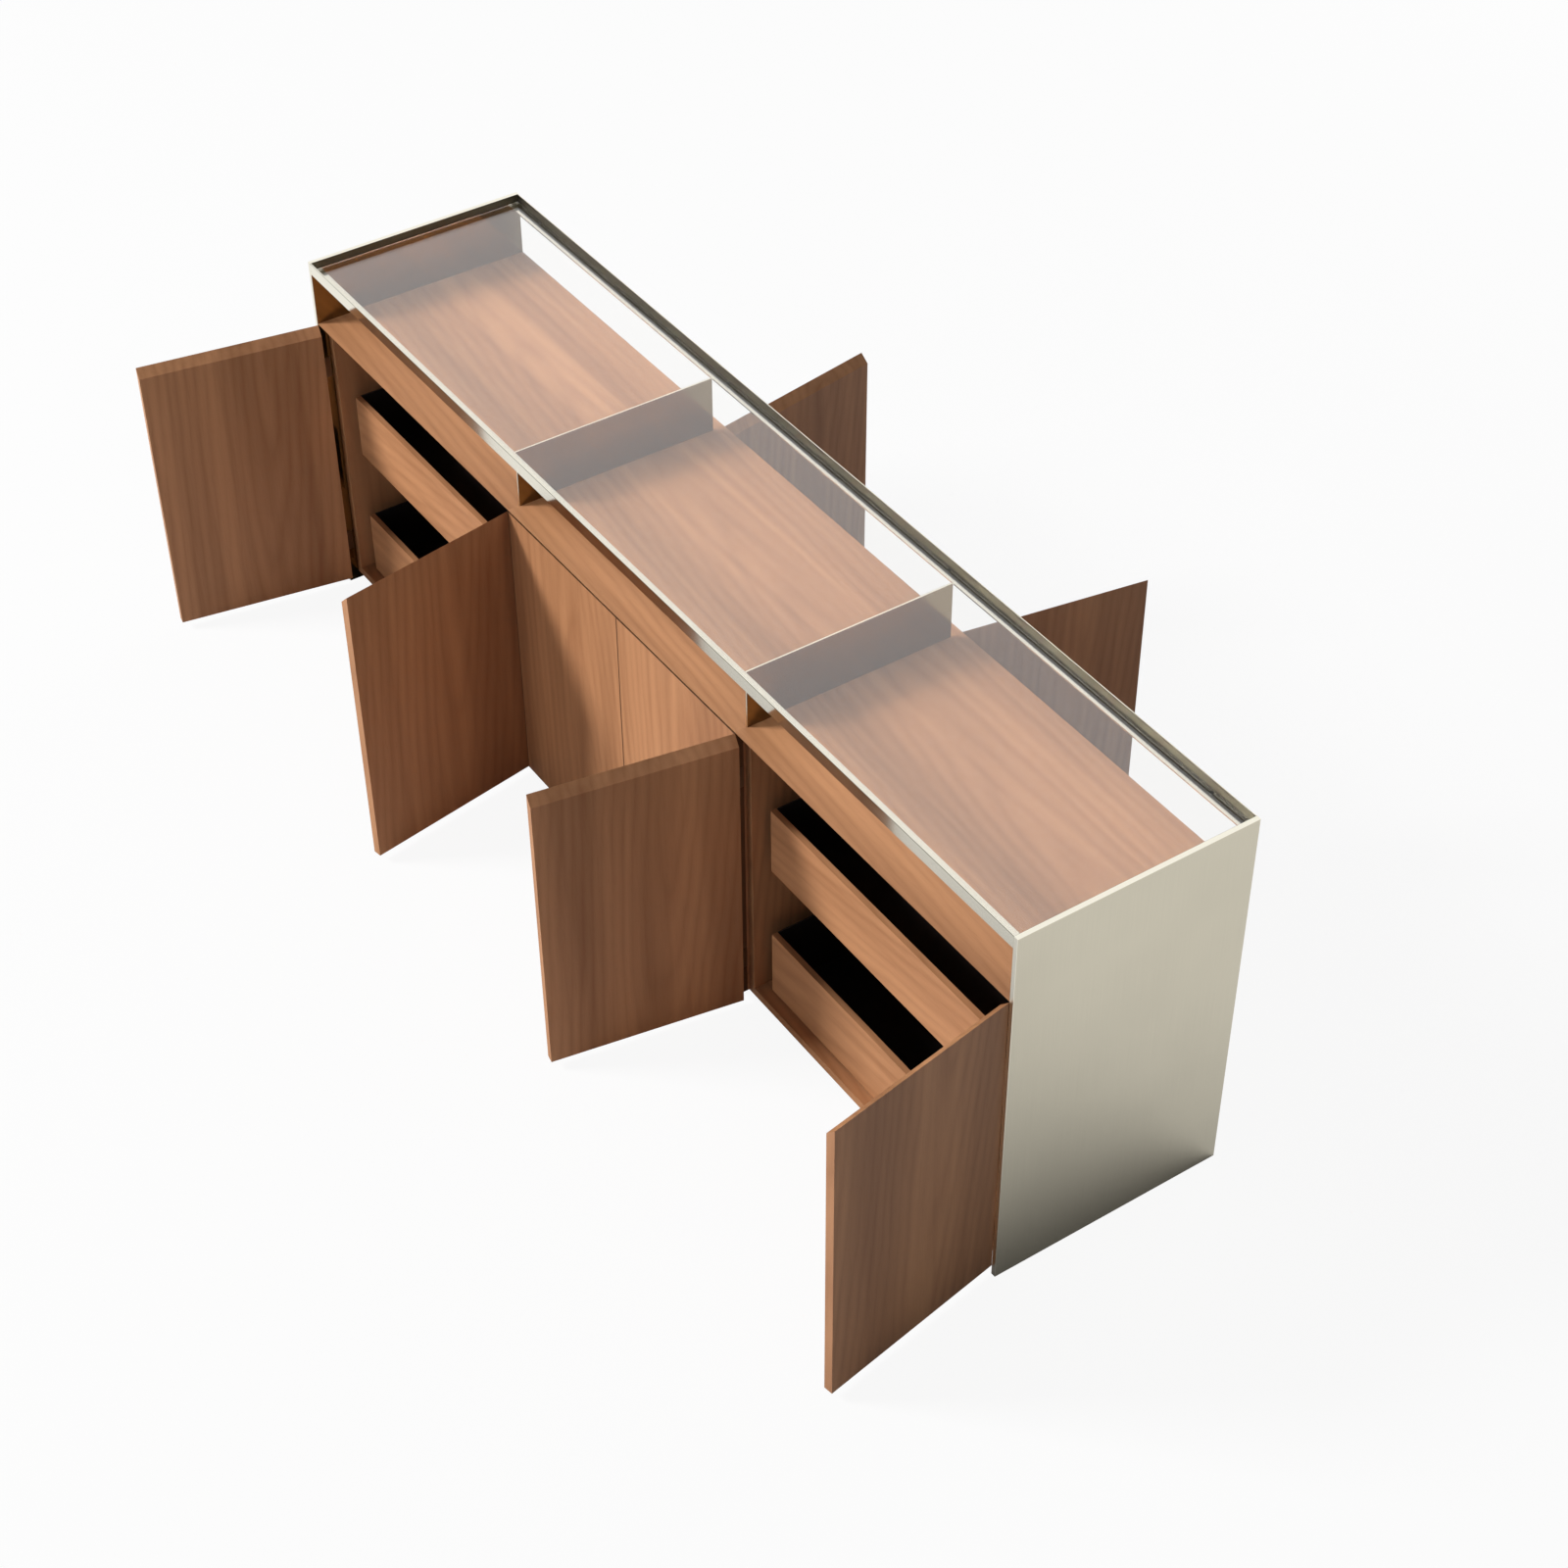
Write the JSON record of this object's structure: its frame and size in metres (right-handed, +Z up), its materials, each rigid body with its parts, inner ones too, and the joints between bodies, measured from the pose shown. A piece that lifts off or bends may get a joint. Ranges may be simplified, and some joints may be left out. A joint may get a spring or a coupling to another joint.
{
  "type": "two-sided sideboard",
  "caption": "Long walnut sideboard in a metal frame with an inset glass top over an open display tray, hinged doors on both faces and inner drawers behind the front doors.",
  "frame": {"origin": "on the floor under the centre of the sideboard", "axes": "+X along the length to the right, -Y out of the front face, +Z up"},
  "size_m": [2.5136, 1.2668, 0.82],
  "materials": {
    "walnut": "satin walnut veneer",
    "champagne_metal": "polished champagne metal",
    "clear_glass": "clear, polished edges",
    "bronze_steel": "dark bronze",
    "plain_steel": "bright zinc",
    "black_tray": "matt black",
    "clear_rubber": "clear, matt",
    "black_plastic": "matt"
  },
  "bodies": {
    "carcass": {"back_rail": "champagne_metal", "front_rail": "champagne_metal", "glass_pads": "clear_rubber", "glass_top": "clear_glass", "hinge_frame_leaves": "bronze_steel", "left_cabinet_bottom": "walnut", "left_cabinet_left_side": "walnut", "left_cabinet_right_side": "walnut", "left_cabinet_top": "walnut", "left_divider": "champagne_metal", "left_end_panel": "champagne_metal", "left_fixed_left_panel": "walnut", "left_fixed_right_panel": "walnut", "levelling_feet": "black_plastic", "middle_cabinet_bottom": "walnut", "middle_cabinet_left_side": "walnut", "middle_cabinet_right_side": "walnut", "middle_cabinet_top": "walnut", "middle_fixed_left_panel": "walnut", "middle_fixed_right_panel": "walnut", "middle_shelf": "walnut", "right_cabinet_bottom": "walnut", "right_cabinet_left_side": "walnut", "right_cabinet_right_side": "walnut", "right_cabinet_top": "walnut", "right_divider": "champagne_metal", "right_end_panel": "champagne_metal", "right_fixed_left_panel": "walnut", "right_fixed_right_panel": "walnut", "runner_battens": "walnut", "runner_channels": "plain_steel", "shelf_pegs": "plain_steel"},
    "left_outer_door": {"left_outer_door": "walnut", "left_outer_door_leaves": "bronze_steel"},
    "left_inner_door": {"left_inner_door": "walnut", "left_inner_door_leaves": "bronze_steel"},
    "right_inner_door": {"right_inner_door": "walnut", "right_inner_door_leaves": "bronze_steel"},
    "right_outer_door": {"right_outer_door": "walnut", "right_outer_door_leaves": "bronze_steel"},
    "rear_left_door": {"rear_left_door": "walnut", "rear_left_door_leaves": "bronze_steel"},
    "rear_right_door": {"rear_right_door": "walnut", "rear_right_door_leaves": "bronze_steel"},
    "left_upper_drawer": {"left_upper_drawer_front": "walnut", "left_upper_drawer_tray": "black_tray", "left_upper_drawer_rails": "plain_steel"},
    "left_lower_drawer": {"left_lower_drawer_front": "walnut", "left_lower_drawer_tray": "black_tray", "left_lower_drawer_rails": "plain_steel"},
    "right_upper_drawer": {"right_upper_drawer_front": "walnut", "right_upper_drawer_tray": "black_tray", "right_upper_drawer_rails": "plain_steel"},
    "right_lower_drawer": {"right_lower_drawer_front": "walnut", "right_lower_drawer_tray": "black_tray", "right_lower_drawer_rails": "plain_steel"}
  },
  "joints": [
    {"name": "left_outer_door_hinge", "type": "hinge", "parent": "carcass", "child": "left_outer_door", "pos_m": [-1.1864, -0.2451, 0.346], "axis": [0, 0, -1], "range_deg": [-100, 10]},
    {"name": "left_inner_door_hinge", "type": "hinge", "parent": "carcass", "child": "left_inner_door", "pos_m": [-0.40027, -0.2451, 0.346], "axis": [0, 0, 1], "range_deg": [-100, 10]},
    {"name": "right_inner_door_hinge", "type": "hinge", "parent": "carcass", "child": "right_inner_door", "pos_m": [0.40027, -0.2451, 0.346], "axis": [0, 0, -1], "range_deg": [-100, 10]},
    {"name": "right_outer_door_hinge", "type": "hinge", "parent": "carcass", "child": "right_outer_door", "pos_m": [1.1864, -0.2451, 0.346], "axis": [0, 0, 1], "range_deg": [-100, 10]},
    {"name": "rear_left_door_hinge", "type": "hinge", "parent": "carcass", "child": "rear_left_door", "pos_m": [-0.39307, 0.2451, 0.346], "axis": [0, 0, 1], "range_deg": [-100, 10]},
    {"name": "rear_right_door_hinge", "type": "hinge", "parent": "carcass", "child": "rear_right_door", "pos_m": [0.39307, 0.2451, 0.346], "axis": [0, 0, -1], "range_deg": [-100, 10]},
    {"name": "left_upper_drawer_slide", "type": "slide", "parent": "carcass", "child": "left_upper_drawer", "axis": [0, -1, 0], "range_m": [0, 0.28]},
    {"name": "left_lower_drawer_slide", "type": "slide", "parent": "carcass", "child": "left_lower_drawer", "axis": [0, -1, 0], "range_m": [0, 0.28]},
    {"name": "right_upper_drawer_slide", "type": "slide", "parent": "carcass", "child": "right_upper_drawer", "axis": [0, -1, 0], "range_m": [0, 0.28]},
    {"name": "right_lower_drawer_slide", "type": "slide", "parent": "carcass", "child": "right_lower_drawer", "axis": [0, -1, 0], "range_m": [0, 0.28]}
  ]
}
